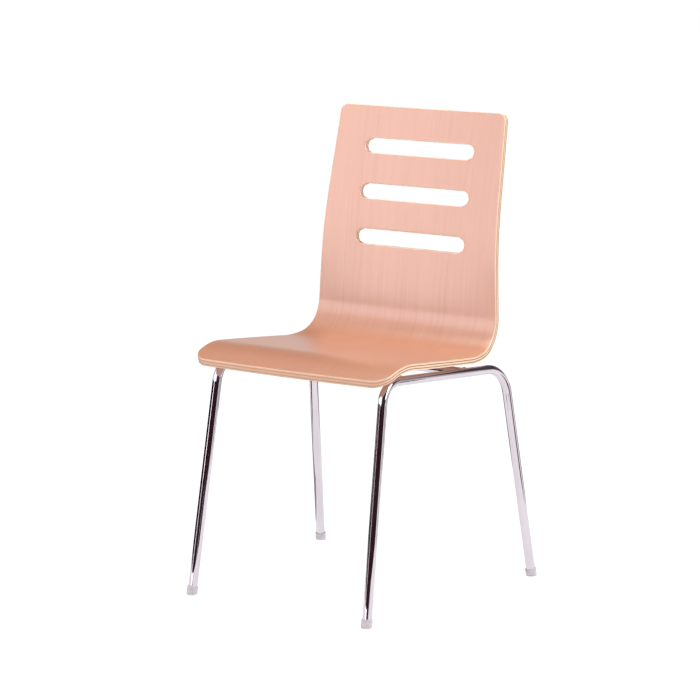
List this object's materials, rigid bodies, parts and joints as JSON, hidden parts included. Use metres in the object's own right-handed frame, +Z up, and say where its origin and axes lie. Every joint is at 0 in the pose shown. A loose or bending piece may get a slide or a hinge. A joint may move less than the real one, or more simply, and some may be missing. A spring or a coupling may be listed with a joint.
{
  "type": "stacking chair",
  "caption": "Stacking chair: one-piece bent plywood seat and back with horizontal slots, screwed to a chromed steel tube frame with plastic glides.",
  "frame": {"origin": "on the floor, midway between the four feet", "axes": "+Z up; the chair faces -Y; +X is on the right of someone who looks at the chair's front"},
  "size_m": [0.504, 0.4892, 0.86],
  "materials": {
    "plywood": "clear satin lacquer on beech veneer, bare layered edges",
    "chrome_tube": "bright chrome plate",
    "chrome_plate": "bright chrome plate over formed sheet",
    "black_rubber": "matt moulded rubber",
    "zinc_steel": "zinc plated",
    "insert_brass": "turned brass",
    "milky_plastic": "milky translucent nylon"
  },
  "bodies": {
    "root": {"seat_shell": "plywood", "left_side_frame": "chrome_tube", "right_side_frame": "chrome_tube", "front_cross_tube": "chrome_tube", "rear_cross_tube": "chrome_tube", "front_left_mount_plate": "chrome_plate", "front_right_mount_plate": "chrome_plate", "rear_left_mount_plate": "chrome_plate", "rear_right_mount_plate": "chrome_plate", "front_left_seat_pad": "black_rubber", "front_right_seat_pad": "black_rubber", "rear_left_seat_pad": "black_rubber", "rear_right_seat_pad": "black_rubber", "front_seat_screws": "zinc_steel", "rear_seat_screws": "zinc_steel", "screw_washers": "zinc_steel", "threaded_inserts": "insert_brass", "front_left_glide": "milky_plastic", "front_right_glide": "milky_plastic", "rear_left_glide": "milky_plastic", "rear_right_glide": "milky_plastic"}
  },
  "joints": []
}
